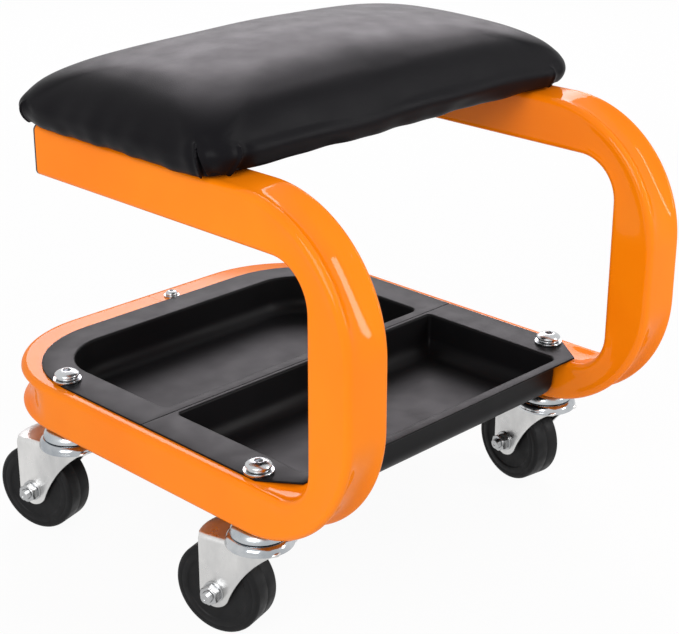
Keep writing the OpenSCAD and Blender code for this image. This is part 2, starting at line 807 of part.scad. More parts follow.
// Side view of a fork leg: x from the swivel axis towards the wheel, y up from the floor
module fork_side() {
    top = [race_wall - fork_plate_r, plate_top_h];
    axle = [caster_trail, wheel_r];
    foot = axle - fork_end_r * [cos(fork_foot_angle), sin(fork_foot_angle)];
    chord = norm(top - foot);
    along = (top - foot) / chord;
    out = [-along[1], along[0]];
    sag_r = chord * chord / (8 * fork_front_sag) + fork_front_sag / 2;
    difference() {
        polygon([
            foot, top, [caster_trail + fork_end_r, plate_top_h], [caster_trail + fork_end_r, wheel_r], axle
        ]);
        translate((top + foot) / 2 + out * (sag_r - fork_front_sag)) circle(sag_r);
    }
    translate(axle) circle(fork_end_r);
}

// Section of the fork across its legs, z up from the plate's underside level
module fork_channel() {
    leg_h = plate_top_h - wheel_r + fork_end_r;
    inner_r = fork_bend_r - fork_sheet;
    difference() {
        union() {
            translate([-leg_outer, -leg_h]) square([2 * leg_outer, leg_h - fork_bend_r]);
            translate([0, -leg_h / 2]) round_rect(2 * leg_outer, leg_h, fork_bend_r);
        }
        translate([-leg_inner, -leg_h - cut]) square([2 * leg_inner, leg_h + cut - fork_bend_r]);
        translate([0, -fork_sheet - leg_h / 2]) round_rect(2 * leg_inner, leg_h, inner_r);
    }
}

// Stamped fork with its raised ball race
module caster_fork(c) {
    reach = caster_trail + fork_end_r + fork_plate_r;
    cavity_in = ball_ring_r - ball_r - race_gap;
    cavity_out = ball_ring_r + ball_r + ball_gap;
    cavity_floor = race_top_h - 2 * ball_r - ball_gap;
    color(zinc) on_caster(c) difference() {
        union() {
            intersection() {
                translate([-fork_plate_r, 0, plate_top_h]) rotate([90, 0, 90])
                    linear_extrude(reach) fork_channel();
                rotate([90, 0, 0]) linear_extrude(2 * leg_outer, center = true) fork_side();
            }
            translate([0, 0, plate_bottom_h]) cylinder(r = fork_plate_r, h = fork_sheet);
            translate([0, 0, plate_top_h]) rotate_extrude() polygon([
                [0, 0], [race_r, 0], [race_r, race_h / 3], [race_r - race_wall, 3 * race_h / 4],
                [race_r - 2 * race_wall, race_h], [0, race_h]
            ]);
        }
        translate([0, 0, cavity_floor]) ring(cavity_out, cavity_in, race_h);
        translate([0, 0, plate_bottom_h - cut])
            cylinder(r = kingpin_r + kingpin_gap, h = fork_sheet + race_h + 2 * cut);
        translate([caster_trail, 0, wheel_r]) rotate([90, 0, 0])
            cylinder(r = axle_r + hole_gap / 4, h = 2 * leg_outer + 2 * cut, center = true);
    }
}

// Things on the axle: z runs along it, towards the nut
module on_axle(c) {
    on_caster(c) translate([caster_trail, 0, wheel_r]) rotate([-90, 0, 0]) children();
}

module axle_bolt(c) {
    shank = 2 * leg_outer + axle_nut_h + axle_tail - tip_chamfer;
    color(zinc) on_axle(c) translate([0, 0, -leg_outer]) {
        translate([0, 0, -axle_head_h]) hex_head(axle_nut_af, axle_head_h);
        cylinder(r = axle_r, h = shank);
        translate([0, 0, shank]) cylinder(r1 = axle_r, r2 = axle_r - tip_chamfer, h = tip_chamfer);
    }
}

module axle_nut(c) {
    color(zinc) on_axle(c) translate([0, 0, leg_outer]) hex_nut(axle_nut_af, axle_nut_h, axle_r);
}

module axle_sleeve(c) {
    color(zinc) on_axle(c) translate([0, 0, -leg_inner])
        ring(axle_sleeve_r, axle_r + hole_gap / 4, 2 * leg_inner);
}

module wheel(c) {
    half = wheel_w / 2;
    edge = wheel_edge_r;
    color(rubber_black) on_axle(c) rotate_extrude() difference() {
        union() {
            translate([0, -half]) square([wheel_r - edge, wheel_w]);
            translate([0, edge - half]) square([wheel_r, wheel_w - 2 * edge]);
            for (y = [-1, 1]) translate([wheel_r - edge, y * (half - edge)]) circle(edge);
            translate([0, -hub_half]) square([wheel_hub_r, 2 * hub_half]);
        }
        for (y = [-1, 1]) translate([wheel_hub_r, y * half - wheel_recess])
            square([wheel_recess_r - wheel_hub_r, 2 * wheel_recess]);
        translate([-cut, -hub_half - cut]) square([axle_sleeve_r + axle_gap + cut, 2 * hub_half + 2 * cut]);
    }
}

frame_left();
frame_right();
frame_sleeve();
seam_screw();
seam_washer();
end_plug(-1);  // end_plug_left
end_plug(1);  // end_plug_right
back_tray();
front_tray();
tray_screw(FL);  // tray_screw_fl
tray_screw(FR);  // tray_screw_fr
tray_screw(BL);  // tray_screw_bl
tray_screw(BR);  // tray_screw_br
tray_washer(FL);  // tray_washer_fl
tray_washer(FR);  // tray_washer_fr
tray_washer(BL);  // tray_washer_bl
tray_washer(BR);  // tray_washer_br
seat_cushion();
seat_board();
seat_bolt(FL);  // seat_bolt_fl
seat_bolt(FR);  // seat_bolt_fr
seat_bolt(BL);  // seat_bolt_bl
seat_bolt(BR);  // seat_bolt_br
seat_insert(FL);  // seat_insert_fl
seat_insert(FR);  // seat_insert_fr
seat_insert(BL);  // seat_insert_bl
seat_insert(BR);  // seat_insert_br
caster_cup(FL);  // caster_cup_fl
caster_cup(FR);  // caster_cup_fr
caster_cup(BL);  // caster_cup_bl
caster_cup(BR);  // caster_cup_br
caster_balls(FL);  // caster_balls_fl
caster_balls(FR);  // caster_balls_fr
caster_balls(BL);  // caster_balls_bl
caster_balls(BR);  // caster_balls_br
caster_nut(FL);  // caster_nut_fl
caster_nut(FR);  // caster_nut_fr
caster_nut(BL);  // caster_nut_bl
caster_nut(BR);  // caster_nut_br
caster_fork(FL);  // caster_fork_fl
caster_fork(FR);  // caster_fork_fr
caster_fork(BL);  // caster_fork_bl
caster_fork(BR);  // caster_fork_br
axle_bolt(FL);  // axle_bolt_fl
axle_bolt(FR);  // axle_bolt_fr
axle_bolt(BL);  // axle_bolt_bl
axle_bolt(BR);  // axle_bolt_br
axle_nut(FL);  // axle_nut_fl
axle_nut(FR);  // axle_nut_fr
axle_nut(BL);  // axle_nut_bl
axle_nut(BR);  // axle_nut_br
axle_sleeve(FL);  // axle_sleeve_fl
axle_sleeve(FR);  // axle_sleeve_fr
axle_sleeve(BL);  // axle_sleeve_bl
axle_sleeve(BR);  // axle_sleeve_br
wheel(FL);  // wheel_fl
wheel(FR);  // wheel_fr
wheel(BL);  // wheel_bl
wheel(BR);  // wheel_br
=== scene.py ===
import math
import bpy
import bmesh
import numpy as np
from mathutils import Matrix, Vector


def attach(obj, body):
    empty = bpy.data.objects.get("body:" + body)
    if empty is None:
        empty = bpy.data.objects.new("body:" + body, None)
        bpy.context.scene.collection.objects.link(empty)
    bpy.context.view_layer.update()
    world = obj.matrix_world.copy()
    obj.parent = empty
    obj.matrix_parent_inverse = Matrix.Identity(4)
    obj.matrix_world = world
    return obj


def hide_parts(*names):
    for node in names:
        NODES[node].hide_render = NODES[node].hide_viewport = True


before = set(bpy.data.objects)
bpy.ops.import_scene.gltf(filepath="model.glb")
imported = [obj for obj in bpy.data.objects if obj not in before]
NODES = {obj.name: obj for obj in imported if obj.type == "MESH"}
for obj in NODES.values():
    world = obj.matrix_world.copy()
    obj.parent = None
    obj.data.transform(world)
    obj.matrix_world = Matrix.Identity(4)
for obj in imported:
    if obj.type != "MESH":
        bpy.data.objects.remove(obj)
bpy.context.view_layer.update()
# lengths are in millimetres, apart from those of the lamps, the floor and the camera's clipping
MM = 0.001
# each caster's place in x and y, and the heading of its fork in degrees
CORNERS = {"fl": (-161, -109, 105), "fr": (161, -109, 82), "bl": (-161, 109, 106), "br": (161, 109, 75)}

# camera, solved from the outlines in the photograph
W, H = 679, 634
YAW, PITCH, ROLL = -0.79203358, 0.38151888, 0.00125869
FOCAL, CX, CY = 1631.0, 338.292, 315.436
EYE = (-834.877, -850.681, 647.538)
SENSOR = 36
cam = bpy.data.cameras.new("camera")
cam_obj = bpy.data.objects.new("camera", cam)
bpy.context.scene.collection.objects.link(cam_obj)
bpy.context.scene.camera = cam_obj
back = Vector((math.sin(YAW) * math.cos(PITCH), -math.cos(YAW) * math.cos(PITCH), math.sin(PITCH)))
right = (-back).cross(Vector((0, 0, 1))).normalized()
up = right.cross(-back)
c, s = math.cos(ROLL), math.sin(ROLL)
right, up = c * right + s * up, c * up - s * right
view = Matrix((right, up, back)).transposed().to_4x4()
view.translation = Vector(EYE) * MM
cam_obj.matrix_world = view
cam.sensor_fit = "HORIZONTAL"
cam.sensor_width = SENSOR
cam.lens = FOCAL / W * SENSOR
cam.shift_x = (W / 2 - CX) / W
cam.shift_y = (CY - H / 2) / W
cam.clip_start = 0.05
cam.clip_end = 60


# numbers and meshes
def cosd(a):
    return math.cos(math.radians(a))


def sind(a):
    return math.sin(math.radians(a))


def quarter(steps):
    """Sine and cosine at even steps from 0 to 90 degrees."""
    return [(sind(90 * k / steps), cosd(90 * k / steps)) for k in range(steps + 1)]


def arc(cx, cy, r, a0, a1, steps):
    """Points on a circle from angle a0 to a1."""
    angles = [a0 + (a1 - a0) * k / steps for k in range(steps + 1)]
    return [(cx + r * cosd(a), cy + r * sind(a)) for a in angles]


def smooth01(x):
    """Eases from 0 to 1, for a number or an array."""
    x = np.clip(x, 0, 1)
    return x * x * (3 - 2 * x)


def bell(x, width):
    return np.exp(-(x / width) ** 2)


def new_mesh(name, verts, faces, flat_faces=()):
    me = bpy.data.meshes.new(name)
    me.from_pydata([tuple(np.asarray(v, float) * MM) for v in verts], [], faces)
    me.update()
    ob = bpy.data.objects.new(name, me)
    bpy.context.scene.collection.objects.link(ob)
    for p in me.polygons:
        p.use_smooth = p.index not in flat_faces
    return ob


def bridge(count, n):
    """Quads between count rings of n points each, which stand one after another in a list."""
    return [(j * n + i, j * n + (i + 1) % n, (j + 1) * n + (i + 1) % n, (j + 1) * n + i)
            for j in range(count - 1) for i in range(n)]


def loft(name, rings, caps=True, flat_caps=False):
    """A skin over rings of equal length. Caps with flat_caps get vertices of their own."""
    n = len(rings[0])
    verts = [p for r in rings for p in r]
    faces = bridge(len(rings), n)
    flat = set()
    for j in (0, len(rings) - 1) if caps else ():
        if flat_caps:
            rim = list(range(len(verts), len(verts) + n))
            verts += list(rings[j])
            flat.add(len(faces))
        else:
            rim = list(range(j * n, j * n + n))
        faces.append(tuple(rim) if j else tuple(reversed(rim)))
    return new_mesh(name, verts, faces, flat)


def edit(ob, work):
    """Opens an object's mesh for work, and writes it back."""
    bm = bmesh.new()
    bm.from_mesh(ob.data)
    work(bm)
    bm.to_mesh(ob.data)
    bm.free()


def weld(bm):
    bmesh.ops.remove_doubles(bm, verts=bm.verts, dist=1e-7)
    bmesh.ops.recalc_face_normals(bm, faces=bm.faces)


def sharpen(ob, angle):
    """Marks edges sharper than angle, so that smooth shading stops there."""
    def work(bm):
        for e in bm.edges:
            if len(e.link_faces) == 2:
                e.smooth = e.calc_face_angle(0) < math.radians(angle)
        for f in bm.faces:
            f.smooth = True

    edit(ob, work)


def lathe(name, profile, origin, direction=(0, 0, 1), n=64):
    """Turns a closed profile of (radius, height) round an axis."""
    d = Vector(direction).normalized()
    x = d.orthogonal().normalized()
    y = d.cross(x)
    verts = []
    for r, h in profile:
        for k in range(n):
            t = 2 * math.pi * k / n
            verts.append(Vector(origin) + d * h + (x * math.cos(t) + y * math.sin(t)) * r)
    faces = []
    for j in range(len(profile)):
        a, b = j * n, (j + 1) % len(profile) * n
        faces += [(a + i, a + (i + 1) % n, b + (i + 1) % n, b + i) for i in range(n)]
    ob = new_mesh(name, verts, faces)
    edit(ob, weld)
    return ob


def apply_modifiers(ob):
    dg = bpy.context.evaluated_depsgraph_get()
    me = bpy.data.meshes.new_from_object(ob.evaluated_get(dg), depsgraph=dg)
    old = ob.data
    ob.modifiers.clear()
    ob.data = me
    bpy.data.meshes.remove(old)


def read(me, kind):
    """Each vertex's position, "co", or normal, "normal", as rows of an array."""
    values = np.empty(len(me.vertices) * 3)
    me.vertices.foreach_get(kind, values)
    return values.reshape(-1, 3)


# materials

# a Mix node's colour sockets have the same names as its number sockets, so they go by place
MIX_A, MIX_B, MIX_OUT = 6, 7, 2
# most of a noise lies in this span
SPAN = (0.3, 0.7)


def srgb(*v):
    """A colour in 0 to 255, as Blender's linear values."""
    out = []
    for x in v:
        x /= 255
        out.append(x / 12.92 if x <= 0.04045 else ((x + 0.055) / 1.055) ** 2.4)
    return out + [1.0]


def add_node(tree, kind, links, values):
    """A shader node with some inputs linked and others set."""
    n = tree.nodes.new("ShaderNode" + kind)
    for key, v in values.items():
        n.inputs[key].default_value = v
    for key, source in links.items():
        tree.links.new(source, n.inputs[key])
    return n


class Mat:
    """A node material built round one Principled shader."""

    def __init__(self, name, color, rough, metal=0.0, coat=0.0, coat_rough=0.05, spec=0.5):
        self.mat = bpy.data.materials.new(name)
        self.mat.use_nodes = True
        self.tree = self.mat.node_tree
        self.shader = self.tree.nodes["Principled BSDF"]
        self.shader.inputs["Base Color"].default_value = color
        self.shader.inputs["Roughness"].default_value = rough
        self.shader.inputs["Metallic"].default_value = metal
        self.shader.inputs["Coat Weight"].default_value = coat
        self.shader.inputs["Coat Roughness"].default_value = coat_rough
        self.shader.inputs["Specular IOR Level"].default_value = spec
        self.place = self.tree.nodes.new("ShaderNodeTexCoord").outputs["Object"]
        self.last_bump = {}

    def link(self, source, name):
        self.tree.links.new(source, self.shader.inputs[name])

    def noise(self, scale, detail=4, rough=0.5, stretch=None):
        """Noise in object space. stretch: its scale in x, y and z."""
        place = self.place
        if stretch:
            place = add_node(self.tree, "Mapping", {"Vector": place}, {"Scale": stretch}).outputs["Vector"]
        values = {"Scale": scale, "Detail": detail, "Roughness": rough}
        return add_node(self.tree, "TexNoise", {"Vector": place}, values).outputs["Fac"]

    def grain(self, scale, width):
        """Leather grain: 0 on the lines between cells, 1 from width on."""
        n = add_node(self.tree, "TexVoronoi", {"Vector": self.place}, {"Scale": scale})
        n.feature = "DISTANCE_TO_EDGE"
        return self.remap(n.outputs["Distance"], (0.0, width), 0, 1)

    def remap(self, source, span, low, high):
        values = {"From Min": span[0], "From Max": span[1], "To Min": low, "To Max": high}
        return add_node(self.tree, "MapRange", {"Value": source}, values).outputs["Result"]

    def tones(self, source, dark, light, span=SPAN):
        """Lets the base colour wander between two tones."""
        fac = self.remap(source, span, 0, 1)
        n = self.tree.nodes.new("ShaderNodeMix")
        n.data_type = "RGBA"
        self.tree.links.new(fac, n.inputs["Factor"])
        n.inputs[MIX_A].default_value = srgb(*dark)
        n.inputs[MIX_B].default_value = srgb(*light)
        self.link(n.outputs[MIX_OUT], "Base Color")

    def gloss(self, source, low, high):
        """Lets the roughness wander from low to high."""
        self.link(self.remap(source, SPAN, low, high), "Roughness")

    def bump(self, source, strength, distance):
        """Adds a bump to the bumps before it. distance is in mm."""
        links = {"Height": source, **self.last_bump}
        n = add_node(self.tree, "Bump", links, {"Strength": strength, "Distance": distance * MM})
        self.last_bump = {"Normal": n.outputs["Normal"]}
        self.link(n.outputs["Normal"], "Normal")


def orange_paint():
    k = Mat("orange_paint", srgb(255, 130, 10), 0.34, coat=0.34, coat_rough=0.06, spec=0.0)
    k.tones(k.noise(9, 3), (253, 128, 8), (255, 136, 12), span=(0.35, 0.65))
    k.gloss(k.noise(60, 3), 0.3, 0.38)
    k.bump(k.noise(330, 2), 0.05, 0.15)
    return k.mat


def black_vinyl():
    k = Mat("black_vinyl", srgb(17, 16, 19), 0.42, spec=0.06)
    k.tones(k.noise(14), (15, 14, 17), (19, 18, 21))
    k.gloss(k.noise(45), 0.39, 0.47)
    k.bump(k.grain(620, 0.16), 0.22, 0.12)
    k.bump(k.noise(1900, 3), 0.10, 0.06)
    k.bump(k.noise(28, 3), 0.16, 0.5)
    return k.mat


def tray_enamel():
    k = Mat("tray_enamel", srgb(16, 15, 17), 0.38, spec=0.08)
    k.tones(k.noise(11), (15, 15, 16), (20, 19, 21))
    k.gloss(k.noise(55), 0.38, 0.46)
    k.bump(k.noise(750, 3), 0.10, 0.08)
    return k.mat


def chrome():
    k = Mat("chrome", srgb(190, 194, 198), 0.11, metal=1)
    k.tones(k.noise(55), (160, 165, 170), (198, 200, 202))
    k.gloss(k.noise(90), 0.08, 0.2)
    k.bump(k.noise(160, 3), 0.06, 0.1)
    return k.mat


def satin_zinc():
    k = Mat("satin_zinc", srgb(205, 206, 206), 0.33, metal=1)
    k.tones(k.noise(26, 6, 0.62, stretch=(1, 1, 0.45)), (188, 188, 188), (230, 229, 227), span=(0.3, 0.75))
    k.gloss(k.noise(120, 5, 0.65), 0.24, 0.42)
    k.bump(k.noise(70, 3), 0.16, 0.25)
    k.bump(k.noise(1500, 2), 0.06, 0.05)
    return k.mat


def cup_zinc():
    k = Mat("cup_zinc", srgb(186, 190, 194), 0.26, metal=1)
    k.tones(k.noise(40, 5), (160, 168, 174), (205, 207, 208))
    k.gloss(k.noise(140), 0.2, 0.34)
    k.bump(k.noise(900, 2, stretch=(1, 1, 3)), 0.06, 0.05)
    return k.mat


def nut_steel():
    k = Mat("nut_steel", srgb(176, 177, 178), 0.28, metal=1)
    k.gloss(k.noise(260), 0.22, 0.36)
    k.bump(k.noise(400, 3), 0.1, 0.08)
    return k.mat


def bright_steel():
    k = Mat("bright_steel", srgb(192, 194, 196), 0.24, metal=1)
    k.gloss(k.noise(300), 0.16, 0.3)
    k.bump(k.noise(500, 3), 0.08, 0.08)
    return k.mat


def wheel_black():
    k = Mat("wheel_black", srgb(20, 20, 21), 0.48, spec=0.15)
    k.tones(k.noise(60, 5, 0.6), (17, 17, 18), (27, 27, 28), span=(0.3, 0.75))
    k.gloss(k.noise(150), 0.42, 0.6)
    k.bump(k.noise(900, 3), 0.2, 0.1)
    return k.mat


def board_black():
    k = Mat("board_black", srgb(19, 19, 20), 0.75, spec=0.3)
    weave = k.noise(1300, 2, stretch=(1, 1, 0.3))
    k.tones(weave, (14, 14, 15), (25, 25, 26))
    k.bump(weave, 0.3, 0.1)
    return k.mat


def plug_black():
    k = Mat("plug_black", srgb(24, 24, 25), 0.45)
    k.bump(k.noise(900, 2), 0.15, 0.08)
    k.gloss(k.noise(80, 3), 0.4, 0.5)
    return k.mat


M = {"orange": orange_paint(), "vinyl": black_vinyl(), "tray": tray_enamel(), "chrome": chrome(),
     "zinc": satin_zinc(), "steel": bright_steel(), "cup": cup_zinc(), "nut": nut_steel(),
     "wheel": wheel_black(), "board": board_black(), "plug": plug_black()}


def dress(ob, mat, body):
    """Gives a piece its material, body and slot."""
    ob.data.materials.clear()
    ob.data.materials.append(M[mat])
    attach(ob, body)


# frame: a square tube with rounded edges, whose front bends turn about their outer centres
TUBE, EDGE_R = 38.0, 4.5
BEND_R, INNER_HIGH, INNER_LOW = 101.0, 32.0, 31.0
INNER = BEND_R - TUBE
TUBE_X, BEND_Y, BEND_HIGH, BEND_LOW = -161.0, -112.0, 238.0, 192.0
ARM_END, ARM_TOP = 102.0, BEND_HIGH + BEND_R
FRONT_Y = BEND_Y - BEND_R
RAIL_LOW = BEND_LOW - BEND_R
RAIL_TOP = RAIL_LOW + TUBE
REAR_X, REAR_Y, REAR_R = -79.0, 112.0, 82.0
SEAM = 0.2
# how deep the inner, +across, outer and -across walls sink in the middle of a bend
FRONT_DISH = (2.6, 0.8, 5.6, 0.8)
REAR_DISH = (0, 6.4, 0, 2.0)
# degrees into each bend by which its dish is full
ONSET_HIGH, ONSET_LOW, ONSET_REAR = 33, 26, 22
WALL_STEPS, EDGE_STEPS = 20, 6


def tube_ring(inner, outer, across, dish):
    """Section between an inner and an outer point, with its walls dished."""
    inner, outer, across = (np.asarray(v, float) for v in (inner, outer, across))
    depth = np.linalg.norm(outer - inner)
    d = (outer - inner) / depth
    mid = (outer + inner) / 2
    hw, hd = TUBE / 2, depth / 2
    pts = []

    def wall(out, along, reach, half, sink):
        for k in range(WALL_STEPS):
            t = -1 + 2 * k / WALL_STEPS
            sunk = sink * (1 - abs(t) ** 3.2) ** 1.4
            pts.append(mid + out * (reach - sunk) + along * (t * (half - EDGE_R)))

    def edge(out, along, reach, half):
        for k in range(EDGE_STEPS):
            a = math.pi / 2 * k / EDGE_STEPS
            step_out = reach - EDGE_R + EDGE_R * math.cos(a)
            step_along = half - EDGE_R + EDGE_R * math.sin(a)
            pts.append(mid + out * step_out + along * step_along)

    sides = ((-d, across, hd, hw), (across, d, hw, hd), (d, -across, hd, hw), (-across, -d, hw, hd))
    for side, sink in zip(sides, dish):
        wall(*side, sink)
        edge(*side)
    return pts


def inner_reach(t, inner_r):
    """Distance from a front bend's outer centre to its inner wall, t degrees into the bend."""
    t = min(t, 90 - t)
    cut = INNER - inner_r
    if t <= math.degrees(math.atan2(cut, INNER)):
        return INNER / cosd(t)
    a = cut * (cosd(t) + sind(t))
    return a + math.sqrt(inner_r * inner_r - 2 * cut * cut + a * a)


def fix_caps(bm):
    """Welds the cut ends on and keeps their rims sharp."""
    weld(bm)
    for e in bm.edges:
        if any(len(f.verts) > 4 for f in e.link_faces):
            e.smooth = False


def half_frame(sign, name, node):
    """Half of the frame, from the end of its seat arm to the seam of the back rail."""
    rings = []
    left = (-1, 0, 0)
    turn = np.arange(0, 90.01, 2.5)

    def add(inner, outer, across, dish=(0, 0, 0, 0)):
        rings.append(tube_ring(inner, outer, across, dish))

    def sunk(t, onset, dish):
        k = smooth01(min(t, 90 - t) / onset)
        return [v * k for v in dish]

    def front_bend(t, d, centre_z, inner_r, onset):
        o = np.array([TUBE_X, BEND_Y, centre_z])
        d = np.array(d)
        add(o + d * inner_reach(t, inner_r), o + d * BEND_R, left, sunk(t, onset, FRONT_DISH))

    for y in np.linspace(ARM_END, BEND_Y + 8, 14):
        add((TUBE_X, y, ARM_TOP - TUBE), (TUBE_X, y, ARM_TOP), left)
    for t in turn:
        front_bend(t, (0, -sind(t), cosd(t)), BEND_HIGH, INNER_HIGH, ONSET_HIGH)
    for z in np.linspace(BEND_HIGH - 8, BEND_LOW + 8, 3):
        add((TUBE_X, FRONT_Y + TUBE, z), (TUBE_X, FRONT_Y, z), left)
    for t in turn:
        front_bend(t, (0, -cosd(t), -sind(t)), BEND_LOW, INNER_LOW, ONSET_LOW)
    for y in np.linspace(BEND_Y + 12, REAR_Y - 12, 12):
        add((TUBE_X, y, RAIL_TOP), (TUBE_X, y, RAIL_LOW), left)
    for t in turn:
        n = np.array([cosd(180 - t), sind(180 - t), 0])
        p = np.array([REAR_X, REAR_Y, 0]) + n * REAR_R
        add(p + (0, 0, RAIL_TOP), p + (0, 0, RAIL_LOW), n, sunk(t, ONSET_REAR, REAR_DISH))
    for x in np.linspace(REAR_X + 9, -SEAM, 5):
        add((x, REAR_Y + REAR_R, RAIL_TOP), (x, REAR_Y + REAR_R, RAIL_LOW), (0, 1, 0))
    if sign > 0:
        rings = [[p * np.array([-1, 1, 1]) for p in r] for r in rings]
    ob = loft(name, rings, flat_caps=True)
    edit(ob, fix_caps)
    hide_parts(node)
    dress(ob, "orange", "frame")


half_frame(-1, "tube_left", "frame_left")
half_frame(1, "tube_right", "frame_right")

# trays
TRAY_TOP, TRAY_DEPTH, SHEET = 130.5, 34.0, 1.5
FLOOR_R, LIP_R, CUT_R, DRAFT = 15.0, 2.1, 0.45, 1.0
PLAN_STEPS = 10


def rect_ring(x0, x1, y0, y1, radii, z):
    """Closed ring round a rectangle, corner by corner from (+x, +y).

    A radius may be a pair instead: the corner's cut in x and in y.
    """
    groups = []
    for k, (x, y, sx, sy) in enumerate(((x1, y1, 1, 1), (x0, y1, -1, 1), (x0, y0, -1, -1), (x1, y0, 1, -1))):
        r = radii[k]
        if isinstance(r, tuple):
            a = np.array([x, y - sy * r[1]])
            b = np.array([x - sx * r[0], y])
            if k % 2:
                a, b = b, a
            groups.append([a + (b - a) * i / PLAN_STEPS for i in range(PLAN_STEPS + 1)])
        else:
            corner = arc(x - sx * r, y - sy * r, r, 90 * k, 90 * k + 90, PLAN_STEPS)
            groups.append([np.array(p) for p in corner])
    pts = []
    for k in range(4):
        pts += groups[k]
        n = 8 if k % 2 else 10
        a, b = groups[k][-1], groups[(k + 1) % 4][0]
        pts += [a + (b - a) * i / n for i in range(1, n)]
    return [(p[0], p[1], z) for p in pts]


def tray(name, node, flange, flange_r, well, well_r):
    """flange and well: (x0, x1, y0, y1). well is the outer face of the walls at the top."""
    bottom, under = TRAY_TOP - TRAY_DEPTH, TRAY_TOP - SHEET
    inner_r = FLOOR_R - SHEET
    rings = []

    def well_ring(off, z):
        x0, x1, y0, y1 = well
        rr = [max(2.0, r + off) for r in well_r]
        rings.append(rect_ring(x0 - off, x1 + off, y0 - off, y1 + off, rr, z))

    def flange_ring(off, z):
        x0, x1, y0, y1 = flange
        rr = [r if isinstance(r, tuple) else max(0.6, r + off) for r in flange_r]
        rings.append(rect_ring(x0 - off, x1 + off, y0 - off, y1 + off, rr, z))

    # upper skin, from the middle of the floor out to the flange
    for sn, cs in quarter(10):
        well_ring(-SHEET - DRAFT - inner_r + inner_r * sn, bottom + SHEET + inner_r * (1 - cs))
    for sn, cs in quarter(5):
        well_ring(-SHEET + LIP_R * (1 - cs), TRAY_TOP - LIP_R + LIP_R * sn)
    for sn, cs in quarter(3):
        flange_ring(-CUT_R + CUT_R * sn, TRAY_TOP - CUT_R + CUT_R * cs)
    # lower skin, back to the middle
    for sn, cs in quarter(3):
        flange_ring(-CUT_R + CUT_R * cs, under + CUT_R - CUT_R * sn)
    for off, down in ((1.1, 0), (0.3, 0.3), (0.0, 1.1)):
        well_ring(off, under - down)
    for sn, cs in quarter(10):
        well_ring(-DRAFT - FLOOR_R + FLOOR_R * cs, bottom + FLOOR_R * (1 - sn))
    ob = loft(name, rings)
    edit(ob, weld)
    sharpen(ob, 38)
    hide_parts(node)
    dress(ob, "tray", "frame")


tray("tray_back_skin", "back_tray", (-171, 171, 6.5, 187), [86, 86, 0.8, 0.8],
     (-141.3, 141.3, 15, 161), [49, 49, 8, 8])
tray("tray_front_skin", "front_tray", (-171, 171, -143, 6.2), [0.8, 0.8, (19.5, 27), (19.5, 27)],
     (-141.3, 141.3, -135, 3.6), [5, 5, 8, 8])

# cushion: half length, half width and its middle in y, then the heights of the lower edge and the
# widest line, how far the shoulder rises over that and runs in, and the crown of the top
HALF_L, HALF_W, MID_Y = 192.0, 107.0, 8.0
Z_LOW, Z_BELLY, SHOULDER, SHOULDER_IN, CROWN = 341.0, 353.0, 28.0, 58.0, 14.5
UNDERCUT, PLAN_R = 7.0, 22.0
# the hollow for the board under it: inset, height of its ceiling and corner radius
HOLLOW_IN, HOLLOW_TOP, HOLLOW_R = 14 - 0.3, 351.3, 10.3


def side_shares(length, fine=2.3, coarse=7.0):
    """Places along a side as shares of it, close together near its ends."""
    places, step, pos = [], fine, fine
    while pos < length / 2 - coarse / 2:
        places.append(pos / length)
        step = min(coarse, step * 1.13)
        pos += step
    return places + [0.5] + [1 - v for v in reversed(places)]


LONG_SHARES = side_shares(2 * (HALF_L - PLAN_R))
SHORT_SHARES = side_shares(2 * (HALF_W - PLAN_R))


def outline(a, b, r, steps=14):
    """Rounded rectangle of half sizes a, b, corner by corner."""
    pts = []
    side_ends = ((-(a - r), b), (-a, -(b - r)), (a - r, -b), (a, b - r))
    for k, (sx, sy) in enumerate(((1, 1), (-1, 1), (-1, -1), (1, -1))):
        for i in range(steps + 1):
            t = math.radians(90 * (k + i / steps))
            pts.append((sx * (a - r) + r * math.cos(t), sy * (b - r) + r * math.sin(t)))
        p, q = pts[-1], side_ends[k]
        for f in SHORT_SHARES if k % 2 else LONG_SHARES:
            pts.append((p[0] + (q[0] - p[0]) * f, p[1] + (q[1] - p[1]) * f))
    return np.array(pts)


def crown_at(x, y):
    """Share of the crown at a point: 1 in the middle, 0 at the edge."""
    u = np.clip(1 - (np.abs(x) / HALF_L) ** 1.9, 0, 1)
    v = np.clip(1 - (np.abs(y) / HALF_W) ** 1.9, 0, 1)
    return u * v


